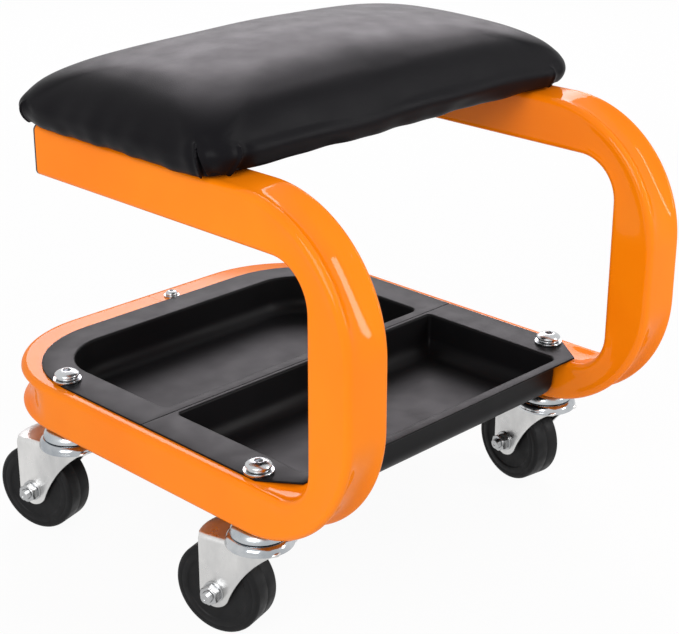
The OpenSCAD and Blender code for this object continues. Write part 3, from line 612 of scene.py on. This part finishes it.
def cushion():
    """Rings from the hollow's ceiling down, round the lower edge and over the shoulder to the top."""
    rings = []

    def ring(inset, z, lift, r):
        a, b = HALF_L - inset, HALF_W - inset
        q = outline(a, b, min(r, b * 0.96))
        height = z + CROWN * lift * crown_at(q[:, 0], q[:, 1])
        rings.append(np.column_stack([q[:, 0], q[:, 1] + MID_Y, height]))

    for z in (HOLLOW_TOP, 347.0, Z_LOW + 0.8):
        ring(HOLLOW_IN, z, 0, HOLLOW_R)
    ring(HOLLOW_IN - 0.8, Z_LOW, 0, 11)
    held_rings = len(rings)
    for t in (0, 15, 30, 45, 60, 75):
        ring(UNDERCUT * (1 - sind(t)), Z_BELLY - (Z_BELLY - Z_LOW) * cosd(t), 0, PLAN_R)
    for t in np.linspace(0, 90, 19):
        inset = SHOULDER_IN * (1 - cosd(t))
        ring(inset, Z_BELLY + SHOULDER * sind(t) ** 0.9, sind(t), PLAN_R + inset * 0.4)
    for inset in np.arange(SHOULDER_IN + 5, 104, 5):
        ring(inset, Z_BELLY + SHOULDER, 1, PLAN_R + SHOULDER_IN * 0.4)
    n = len(rings[0])
    verts = [p for r in rings for p in r]
    faces = bridge(len(rings), n)
    # the top closes across the short way, the hollow is one flat face
    base = (len(rings) - 1) * n
    last = rings[-1]
    mirror = []
    for i in range(n):
        d = np.hypot(last[:, 0] - last[i, 0], (last[:, 1] - MID_Y) + (last[i, 1] - MID_Y))
        mirror.append(int(d.argmin()))
    done = set()
    for i in range(n):
        j = (i + 1) % n
        q = (base + i, base + j, base + mirror[j], base + mirror[i])
        key = frozenset(q)
        if len(key) >= 3 and key not in done:
            done.add(key)
            q = [v for k, v in enumerate(q) if v != q[k - 1]]
            if len(q) > 2:
                faces.append(tuple(q))
    faces.append(tuple(reversed(range(n))))
    ob = new_mesh("cushion", verts, faces)
    ob.vertex_groups.new(name="held").add(list(range(held_rings * n)), 1.0, "REPLACE")
    edit(ob, weld)
    return ob


def inflate(ob, pressure=4.0, cap=3.2, frames=20, passes=12):
    """Blows the cover up as cloth.

    Its upper part follows by up to cap, and the foam holds the rest in place.
    """
    scene = bpy.context.scene
    rest = read(ob.data, "co")
    facing = read(ob.data, "normal")
    facing[rest[:, 2] > (Z_BELLY + SHOULDER) * MM] = (0, 0, 1)
    cloth = ob.modifiers.new("cloth", "CLOTH")
    st = cloth.settings
    st.quality = 4
    st.mass = 0.3
    st.tension_stiffness = 12
    st.compression_stiffness = 12
    st.shear_stiffness = 5
    st.bending_stiffness = 0.4
    st.air_damping = 1.5
    st.use_pressure = True
    st.uniform_pressure_force = pressure
    st.vertex_group_mass = "held"
    st.effector_weights.gravity = 0
    cloth.collision_settings.use_collision = False
    cloth.point_cache.frame_start = 1
    cloth.point_cache.frame_end = frames
    for f in range(1, frames + 1):
        scene.frame_set(f)
    apply_modifiers(ob)
    scene.frame_set(1)
    now = read(ob.data, "co")
    outward = np.maximum(((now - rest) * facing).sum(axis=1), 0) / MM
    loose = smooth01((rest[:, 2] / MM - Z_BELLY - 4) / 22)
    swell = loose * cap * np.tanh(outward / cap) * MM
    # the swell is evened out along the edges
    ends = np.empty(len(ob.data.edges) * 2, np.int32)
    ob.data.edges.foreach_get("vertices", ends)
    one, other = ends.reshape(-1, 2).T
    count = np.bincount(ends, minlength=len(swell))
    for _ in range(passes):
        around = np.bincount(one, swell[other], len(swell)) + np.bincount(other, swell[one], len(swell))
        swell = 0.4 * swell + 0.6 * around / count
    ob.data.vertices.foreach_set("co", (rest + facing * swell[:, None]).ravel())
    ob.data.update()


def tuck(sx, sy, way, bottom, top, width, deep):
    """A tuck near the corner (sx, sy): its ends on the surface, the way in, half width and depth."""
    inward = np.array([-sx * way[0], -sy * way[1], 0])
    return np.array(bottom, float), np.array(top, float), inward, width, deep


ASLANT, STRAIGHT = (0.75, 0.66), (0.05, 1)
TUCKS = [tuck(-1, -1, ASLANT, (-184.2, -88, 343.3), (-186.5, -83.9, 362.7), 1.6, 1.2),
         tuck(-1, -1, STRAIGHT, (-166.2, -98, 342.5), (-162.4, -98.8, 358.5), 1.6, 1.4),
         tuck(1, -1, ASLANT, (184, -87.5, 342.5), (188.6, -80.5, 358), 0.9, 0.9),
         tuck(1, -1, STRAIGHT, (165, -98, 342.5), (161, -98.8, 356), 0.9, 0.8),
         tuck(-1, 1, ASLANT, (-185, 101, 342.5), (-188.6, 95, 357), 0.8, 0.9),
         tuck(-1, 1, STRAIGHT, (-164, 113.8, 342.5), (-160, 114.6, 357), 0.9, 0.8),
         tuck(1, 1, ASLANT, (184.6, 102, 342.5), (188.4, 96, 359), 1.0, 0.9),
         tuck(1, 1, STRAIGHT, (166, 113.8, 342.5), (161, 114.6, 356), 0.8, 0.8)]


def refine(ob, reach=12, cuts=2):
    """Finer faces round the tucks."""
    def work(bm):
        near = set()
        for v in bm.verts:
            p = np.array(v.co) / MM
            # the top and the middle are far from every tuck
            if p[2] > 376 or (abs(p[0]) < 140 and abs(p[1] - MID_Y) < 60):
                continue
            for bottom, top, *_ in TUCKS:
                ax = top - bottom
                h = np.clip(np.dot(p - bottom, ax) / np.dot(ax, ax), -0.1, 1.1)
                if np.linalg.norm(p - bottom - ax * h) < reach:
                    near.add(v)
                    break
        edges = [e for e in bm.edges if e.verts[0] in near and e.verts[1] in near]
        bmesh.ops.subdivide_edges(bm, edges=edges, cuts=cuts, use_grid_fill=True)

    edit(ob, work)


def tuck_push(co, n, bottom, top, inward, width, deep):
    """How far the points at co, with normals n, move out for a tuck: a slot with a lip on either side."""
    ax = top - bottom
    length = np.linalg.norm(ax)
    ax = ax / length
    inward = inward - ax * np.dot(inward, ax)
    inward = inward / np.linalg.norm(inward)
    rel = co - bottom
    h = rel @ ax / length
    u = rel @ np.cross(ax, inward)
    facing = smooth01((-(n @ inward) - 0.2) / 0.3)
    past = np.maximum(h - 1, 0) * length
    half = width * np.clip(1.02 - h, 0.12, 1.1)
    off = np.hypot(np.maximum(np.abs(u) - half, 0), past) + np.minimum(np.abs(u) - half, 0) * (h < 1)
    slot = -4.0 * smooth01(0.15 - off / 0.8)
    lip = np.where(u > 0, 1.5, 0.7) * bell(np.maximum(off, 0), 2.0)
    beside = np.where(u < 0, -1.3 * bell(u + 5.5, 5.0), 0.7 * bell(u - 6, 5.0))
    fade = smooth01((1.35 - h) / 0.35) * smooth01((h + 0.35) / 0.2)
    return deep * facing * (fade * (lip + beside) + slot * (h > -0.3))


def fold_push(x, z, n):
    """The light fold along the sides, strongest on the long ones."""
    from_end = np.minimum(HALF_L - np.abs(x), 60) / 60
    side = smooth01((0.97 - np.abs(n[:, 2])) / 0.2)
    long_side = smooth01((np.abs(n[:, 1]) - 0.5) / 0.2)
    line = 354.0 + 1.2 * np.sin(x / 41) + 0.8 * np.sin(x / 17 + 1.2)
    above = z - line - 9
    ridge = 1.9 * bell(z - line, 4.5) - 1.8 * bell(above, np.where(above < 0, 4.5, 13))
    share = long_side * smooth01(from_end * 2.2) * (0.85 + 0.15 * np.sin(x / 23))
    return ridge * (share + 0.3 * (1 - long_side) * side)


def tailor(ob):
    """Corner tucks, the fold along the sides, the rolled lower edge's waves and the pull of the cover."""
    me = ob.data
    co = read(me, "co") / MM
    n = read(me, "normal")
    x, y, z = co[:, 0], co[:, 1] - MID_Y, co[:, 2]
    push = np.zeros(len(co))
    for one in TUCKS:
        push += tuck_push(co, n, *one)
    push += fold_push(x, z, n)
    # waves of the rolled edge, and long soft pulls
    outer = (np.abs(x) > HALF_L - 34) | (np.abs(y) > HALF_W - 34)
    s = np.arctan2(y / (2 * HALF_W), x / (2 * HALF_L))
    wave = np.sin(s * 17 + 0.7) * 0.55 + np.sin(s * 37 + 2.1) * 0.35 + np.sin(s * 7 + 1.0) * 0.5
    push += bell(z - Z_LOW - 3, 6) * outer * 0.8 * wave
    belly = bell(z - Z_BELLY - 4, 10) * outer
    push += belly * 0.35 * (np.sin(s * 13 + 0.4) + 0.6 * np.sin(s * 29 + 1.9))
    pulls = np.sin(x / 19 + np.sin(y / 31) * 1.3) * np.sin(y / 27 + x / 83)
    push += 0.22 * pulls * smooth01((z - Z_BELLY - 14) / 14)
    # the hollow stays as it is, and the lower edge keeps off the arms
    inside = (np.abs(x) < HALF_L - 13.2) & (np.abs(y) < HALF_W - 13.2) & (z < 352.5)
    push[inside] = 0
    moved = co + n * push[:, None]
    moved[:, 2] = np.maximum(moved[:, 2], np.where(inside, 0, 339.9 - 0.4 * wave))
    me.vertices.foreach_set("co", (moved * MM).ravel())
    me.update()


cush = cushion()
inflate(cush)
cush.modifiers.new("smooth", "SUBSURF").levels = 1
apply_modifiers(cush)
refine(cush)
tailor(cush)
sharpen(cush, 80)
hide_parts("seat_cushion")
dress(cush, "vinyl", "frame")


# casters and fasteners
def hexagon(af, cap=1e9):
    """Radius of a hexagon at an angle, no further out than cap."""
    return lambda t: min(af / 2 / math.cos((t + math.pi / 6) % (math.pi / 3) - math.pi / 6), cap)


def turned(name, levels, origin, direction=(0, 0, 1), closed=False, n=72):
    """Like lathe, but with ends unless closed, and a level's radius may be a function of the angle."""
    d = Vector(direction).normalized()
    x = Vector((0, 0, 1)).cross(d)
    x = x.normalized() if x.length > 0.01 else Vector((1, 0, 0))
    y = d.cross(x)
    rings = []
    for r, h in levels:
        ring = []
        for k in range(n):
            t = 2 * math.pi * k / n
            reach = max(r(t) if callable(r) else r, 0.01)
            ring.append(Vector(origin) + d * h + (x * math.cos(t) + y * math.sin(t)) * reach)
        rings.append(ring)
    if closed:
        rings.append(rings[0])
    ob = loft(name, rings, caps=not closed)
    edit(ob, weld)
    sharpen(ob, 34)
    return ob


def hex_levels(af, h, bore=None):
    """Levels of a hexagon head or nut from its seat at 0 to its face at h."""
    rc = af / 2 * 0.97
    levels = [(hexagon(af, rc), 0.0), (hexagon(af, rc + 0.6), 0.35), (hexagon(af), 0.75)]
    levels += [(hexagon(af), h - 1.1), (hexagon(af, rc + 0.75), h - 0.55)]
    levels += [(hexagon(af, rc + 0.2), h - 0.14), (hexagon(af, rc), h)]
    if bore:
        return levels + [(bore + 0.45, h), (bore, h - 0.45), (bore, 0.0)]
    return levels + [(0, h)]


def thread_levels(r, h0, h1, pitch=1.25, depth=0.55):
    """Levels of a thread, as grooves side by side, and its chamfered end."""
    levels, h = [], h0
    while h < h1 - pitch:
        levels += [(r, h), (r, h + 0.15 * pitch), (r - depth, h + 0.5 * pitch), (r - depth, h + 0.62 * pitch)]
        h += pitch
    levels += [(r, h), (r, h1 - 0.5), (r - 0.7, h1), (r - 2.4, h1)]
    return levels + [(r - 2.7, h1 - 0.25), (0, h1 - 0.25)]


def local(k, d, a, z):
    """A point of a caster: d along its heading, a across it."""
    x, y, t = CORNERS[k]
    return (x + d * cosd(t) - a * sind(t), y + d * sind(t) + a * cosd(t), z)


def axis_of(k):
    t = CORNERS[k][2]
    return (-sind(t), cosd(t), 0)


# a fork leg's outline, as (along the heading, height): from its front top corner a circle sags to the
# foot, where the round end about the axle begins
TOP_FRONT, AXLE, END_R, SAG = (-23.0, 78.5), (29.0, 35.0), 12.5, 4.5
FOOT = (AXLE[0] - END_R * cosd(14), AXLE[1] - END_R * sind(14))
CHORD = math.dist(TOP_FRONT, FOOT)
ALONG = ((TOP_FRONT[0] - FOOT[0]) / CHORD, (TOP_FRONT[1] - FOOT[1]) / CHORD)
SAG_R = CHORD * CHORD / (8 * SAG) + SAG / 2
SAG_C = ((TOP_FRONT[0] + FOOT[0]) / 2 - ALONG[1] * (SAG_R - SAG),
         (TOP_FRONT[1] + FOOT[1]) / 2 + ALONG[0] * (SAG_R - SAG))
# the fork's sheet, its bend, half its outer width, how far its top bulges back, and its rounded edges
FORK_SHEET, FORK_BEND, FORK_HALF, FORK_BULGE = 2.5, 4.0, 16.6, 4.0
ROUND, SHY = 0.75, 0.22
LEG_TOP = TOP_FRONT[1] - FORK_BEND


def fork_span(z):
    """Front and rear edge of a fork leg at a height."""
    if z < AXLE[1]:
        w = math.sqrt(max(END_R ** 2 - (z - AXLE[1]) ** 2, 0.5))
        rear, front = AXLE[0] + w, AXLE[0] - w
    else:
        rear, front = AXLE[0] + END_R, -1e9
    if z >= FOOT[1]:
        front = max(SAG_C[0] + math.sqrt(max(SAG_R ** 2 - (z - SAG_C[1]) ** 2, 0)), TOP_FRONT[0])
    return front, rear


def fork(k):
    """Sections of the sheet, from the end of one leg up, over the top and down the other."""
    half = [(FORK_HALF, AXLE[1] - END_R * sind(p), 1.0, 0.0) for p in [*range(82, 0, -9), 0]]
    half += [(FORK_HALF, z, 1.0, 0.0) for z in np.linspace(AXLE[1] + 3, LEG_TOP, 12)]
    for p in (12, 24, 36, 48, 60, 72, 84, 90):
        cs, sn = cosd(p), sind(p)
        half.append((FORK_HALF - FORK_BEND + FORK_BEND * cs, LEG_TOP + FORK_BEND * sn, cs, sn))
    half += [(q, TOP_FRONT[1], 0.0, 1.0) for q in (10, 7, 4, 1.3)]
    stations = [(-a, z, -na, nz) for a, z, na, nz in half]
    stations += [(a, z, na, nz) for a, z, na, nz in reversed(half)]
    sh, n = FORK_SHEET, 10
    rings = []
    for a, z, na, nz in stations:
        f, r = fork_span(z)
        if z > LEG_TOP + 0.1:
            r += FORK_BULGE * (1 - (a / FORK_HALF) ** 2) * smooth01((FORK_HALF - abs(a)) / 5)
        ring = [(f + ROUND + (r - f - 2 * ROUND) * i / n, 0.0) for i in range(n + 1)]
        ring += [(r - SHY, SHY), (r, ROUND), (r, sh - ROUND), (r - SHY, sh - SHY)]
        ring += [(r - ROUND - (r - f - 2 * ROUND) * i / n, sh) for i in range(n + 1)]
        ring += [(f + SHY, sh - SHY), (f, sh - ROUND), (f, ROUND), (f + SHY, SHY)]
        rings.append([local(k, d, a - na * dep, z - nz * dep) for d, dep in ring])
    ob = loft("fork_" + k, rings)
    edit(ob, weld)
    sharpen(ob, 60)
    dress(ob, "zinc", "swivel_" + k)
    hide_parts("caster_fork_" + k)


def fork_race(k):
    """The raised race on the fork's top."""
    x, y, _ = CORNERS[k]
    prof = [(8.1, 76), (24.5, 76), (24.9, 76.15), (25.05, 76.6), (25.05, 77.5), (24.9, 78.0), (24.75, 78.3)]
    prof += [(19.6 + 5.1 * cosd(a), 78.4 + 4.7 * sind(a)) for a in range(4, 96, 7)]
    prof += [(18.9, 82.4), (18.9, 81.4), (8.1, 81.4)]
    race = lathe("race_" + k, prof, (x, y, 0), n=96)
    sharpen(race, 50)
    dress(race, "chrome", "swivel_" + k)
    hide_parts("caster_fork_" + k)


def kingpin_cup(k):
    """The upper cup with the kingpin and its collar."""
    x, y, _ = CORNERS[k]
    prof = [(5.3, 91), (15.5, 91)]
    prof += [(15.0 + 6.3 * sind(a), 84.6 + 6.35 * cosd(a)) for a in range(10, 96, 8)]
    prof += [(21.15, 83.95), (20.6, 83.7), (8, 83.7), (8, 75.7), (11.7, 75.7), (12, 75.4)]
    prof += [(12, 73.6), (11.7, 73.3), (5.3, 73.3)]
    ob = lathe("cup_" + k, prof, (x, y, 0), n=96)
    sharpen(ob, 40)
    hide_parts("caster_cup_" + k)
    dress(ob, "cup", "frame")


def wheel(k):
    """Half of the profile from hub to tread, then its mirror image."""
    wheel_r, hw, e = 35, 13.0, 3.0
    half = [(6.08, 13.6), (10.2, 13.6), (10.8, 13.3), (11.2, 12.4), (11.6, 11.8), (12.4, 11.6)]
    half += [(19.0, 11.7), (23.6, 11.9), (24.4, 12.05), (24.9, 12.45), (25.3, 12.85), (26.0, 13.0)]
    half += [(29.6, 13.0), (30.0, 12.82), (30.4, 13.0)]
    half += [(wheel_r - e + e * sind(t), hw - e + e * cosd(t)) for t in range(0, 91, 10)]
    half += [(wheel_r, 5.5), (wheel_r, 0.35), (wheel_r - 0.12, 0.12)]
    prof = half + [(r, -h) for r, h in reversed(half)]
    ob = lathe("roller_" + k, prof, local(k, AXLE[0], 0, AXLE[1]), axis_of(k), n=128)
    sharpen(ob, 48)
    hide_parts("wheel_" + k)
    dress(ob, "wheel", "roller_" + k)


def axle(k):
    """The bolt with its head against one leg, and the flanged nut against the other."""
    o, d = local(k, AXLE[0], 0, AXLE[1]), axis_of(k)
    body = "swivel_" + k
    hex_af, bolt_r = 13, 3.98
    levels = [(0, -21.9), (5.0, -21.9)]
    levels += [(r, -FORK_HALF - h) for r, h in reversed(hex_levels(hex_af, 5.3)[:-1])]
    levels += [(bolt_r, -FORK_HALF)] + thread_levels(bolt_r, 15.0, 28.1)
    ob = turned("bolt_" + k, levels, o, d)
    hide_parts("axle_bolt_" + k)
    dress(ob, "nut", body)
    levels = [(4.02, 1.6), (4.02, 0.1), (8.0, 0.0), (8.2, 0.2), (8.2, 1.3), (8.0, 1.5), (6.6, 1.6)]
    levels += [(r, h + 1.6) for r, h in hex_levels(hex_af, 6.4, bore=4.02)[1:-1]]
    ob = turned("nut_" + k, [(r, h + FORK_HALF) for r, h in levels], o, d, closed=True)
    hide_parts("axle_nut_" + k)
    dress(ob, "nut", body)


def button_screw(name, node, seat, r, h, socket, deep, shank_r, tail):
    """Screw with a domed head of radius r and height h, and a hexagon socket deep into it."""
    flat_r = socket / 2 / math.cos(math.pi / 6) + 0.7
    rim = 0.32 * h
    levels = [(0, -tail), (shank_r - 0.6, -tail), (shank_r, -tail + 0.6), (shank_r, -0.05)]
    levels += [(r - 0.35, 0.0), (r - 0.05, 0.25)]
    for j in range(15):
        q = max(r * math.cos(math.pi / 2 * j / 14), flat_r)
        levels.append((q, rim + (h - rim) * max(1 - (q / r) ** 2.3, 0) ** 0.75))
        if q == flat_r:
            break
    top = levels[-1][1]
    levels += [(hexagon(socket + 0.7), top + 0.04), (hexagon(socket), top - 0.3)]
    levels += [(hexagon(socket), top - deep), (0, top - deep - 0.5)]
    ob = turned(name, levels, seat)
    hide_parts(node)
    dress(ob, "steel", "frame")


def washers(k):
    """A flat washer on the tray and a spring washer on top of it."""
    x, y, _ = CORNERS[k]
    z, thick = TRAY_TOP, 2.0
    flat = [(5.2, z), (10.8, z), (11.0, z + 0.25), (11.0, z + 1.75)]
    flat += [(10.75, z + thick), (5.5, z + thick), (5.2, z + 1.8)]
    ob = lathe("washer_" + k, flat, (x, y, 0))
    sharpen(ob, 40)
    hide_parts("tray_washer_" + k)
    dress(ob, "steel", "frame")
    # the spring washer is a split one: a square wire that climbs once round
    wire = [(5.3, 0.3), (5.6, 0.02), (8.2, 0.02), (8.5, 0.3)]
    wire += [(8.5, 1.6), (8.2, 1.88), (5.6, 1.88), (5.3, 1.6)]
    rings = []
    for i in range(61):
        t = 8 + 344 * i / 60
        rise = 0.28 * i / 60
        rings.append([(x + r * cosd(t), y + r * sind(t), z + thick + h + rise) for r, h in wire])
    ob = loft("spring_washer_" + k, rings, flat_caps=True)
    edit(ob, weld)
    sharpen(ob, 50)
    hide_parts("tray_washer_" + k)
    dress(ob, "steel", "frame")


WASHERS_TOP, SEAM_WASHER_TOP = 134.7, 130.2
for k, (x, y, _) in CORNERS.items():
    fork(k)
    fork_race(k)
    kingpin_cup(k)
    wheel(k)
    axle(k)
    washers(k)
    button_screw("screw_" + k, "tray_screw_" + k, (x, y, WASHERS_TOP),
                 r=9.6, h=4.9, socket=6.1, deep=3.0, shank_r=4.98, tail=68.8)
button_screw("screw_seam", "seam_screw", (15, REAR_Y + REAR_R, SEAM_WASHER_TOP),
             r=5.4, h=4.3, socket=3.6, deep=1.8, shank_r=2.98, tail=9)

# finish of the carried-over solids, by how their names begin
FINISHES = {"caster_fork": "zinc", "caster_cup": "chrome", "wheel": "wheel", "end_plug": "plug",
            "seat_board": "board", "frame_left": "orange", "frame_right": "orange",
            "back_tray": "tray", "front_tray": "tray", "seat_cushion": "vinyl"}
for n, ob in NODES.items():
    key = next((finish for start, finish in FINISHES.items() if n.startswith(start)), "steel")
    ob.data.materials.clear()
    ob.data.materials.append(M[key])

# floor, world and lamps
FLOOR_GREY, FLOOR_SHARE, WORLD_LIGHT = 0.75, 0.95, 0.42
WHITE = (1, 1, 1, 1)


def seen_white(tree):
    """1 for rays that should meet the white background: camera, glossy and transmission rays."""
    path = tree.nodes.new("ShaderNodeLightPath")
    out = path.outputs["Is Camera Ray"]
    for name in ("Is Glossy Ray", "Is Transmission Ray"):
        both = tree.nodes.new("ShaderNodeMath")
        both.operation = "MAXIMUM"
        tree.links.new(out, both.inputs[0])
        tree.links.new(path.outputs[name], both.inputs[1])
        out = both.outputs[0]
    return out


def blend(tree, fac, first, second, output):
    """Mixes two shaders into the tree's output."""
    n = tree.nodes.new("ShaderNodeMixShader")
    tree.links.new(fac, n.inputs["Fac"])
    tree.links.new(first, n.inputs[1])
    tree.links.new(second, n.inputs[2])
    tree.links.new(n.outputs["Shader"], tree.nodes[output].inputs["Surface"])


def pale_floor():
    """Floor that is nearly white for the background's rays and still takes the object's shadow."""
    mat = bpy.data.materials.new("floor")
    mat.use_nodes = True
    tree = mat.node_tree
    plain = tree.nodes["Principled BSDF"]
    plain.inputs["Base Color"].default_value = (FLOOR_GREY, FLOOR_GREY, FLOOR_GREY, 1)
    plain.inputs["Roughness"].default_value = 0.9
    plain.inputs["Specular IOR Level"].default_value = 0.1
    glow = add_node(tree, "Emission", {}, {"Color": WHITE, "Strength": 1})
    share = tree.nodes.new("ShaderNodeMath")
    share.operation = "MULTIPLY"
    share.inputs[1].default_value = FLOOR_SHARE
    tree.links.new(seen_white(tree), share.inputs[0])
    blend(tree, share.outputs[0], plain.outputs["BSDF"], glow.outputs["Emission"], "Material Output")
    return mat


def white_world():
    """World that lights the object softly and is white for the background's rays."""
    world = bpy.data.worlds.new("world")
    world.use_nodes = True
    tree = world.node_tree
    light = tree.nodes["Background"]
    light.inputs["Color"].default_value = WHITE
    light.inputs["Strength"].default_value = WORLD_LIGHT
    seen = add_node(tree, "Background", {}, {"Color": WHITE, "Strength": 1})
    blend(tree, seen_white(tree), light.outputs["Background"], seen.outputs["Background"], "World Output")
    return world


def area(name, place, to, power, size, size_y, long_way=(0, 0, 1), color=(1, 1, 1)):
    """An area lamp at a point, aimed at another. long_way: which way its size_y runs."""
    lamp = bpy.data.lights.new(name, "AREA")
    lamp.shape = "RECTANGLE"
    lamp.size = size
    lamp.size_y = size_y
    lamp.energy = power
    lamp.color = color
    ob = bpy.data.objects.new(name, lamp)
    bpy.context.scene.collection.objects.link(ob)
    z = (Vector(place) - Vector(to)).normalized()
    y = Vector(long_way)
    y = (y - z * y.dot(z)).normalized()
    pose = Matrix((y.cross(z), y, z)).transposed().to_4x4()
    pose.translation = Vector(place)
    ob.matrix_world = pose


bpy.ops.mesh.primitive_plane_add(size=30, location=(0, 0, 0))
floor = bpy.context.object
floor.name = "floor"
floor.data.materials.append(pale_floor())
bpy.context.scene.world = white_world()
# places, sizes and powers of the lamps in metres and watts
area("key", (-1.45, -0.65, 1.05), (-0.05, -0.05, 0.2), 19, 1.0, 1.0)
area("sheen", (1.5, 1.5, 1.35), (0, 0, 0.3), 30, 1.7, 0.95, color=(1, 0.93, 0.99))
area("strip", (0.83, -1.13, 0.92), (-0.16, -0.2, 0.29), 10, 0.22, 1.15, long_way=(0, -0.65, -0.75))

bpy.context.scene.view_settings.view_transform = "Standard"
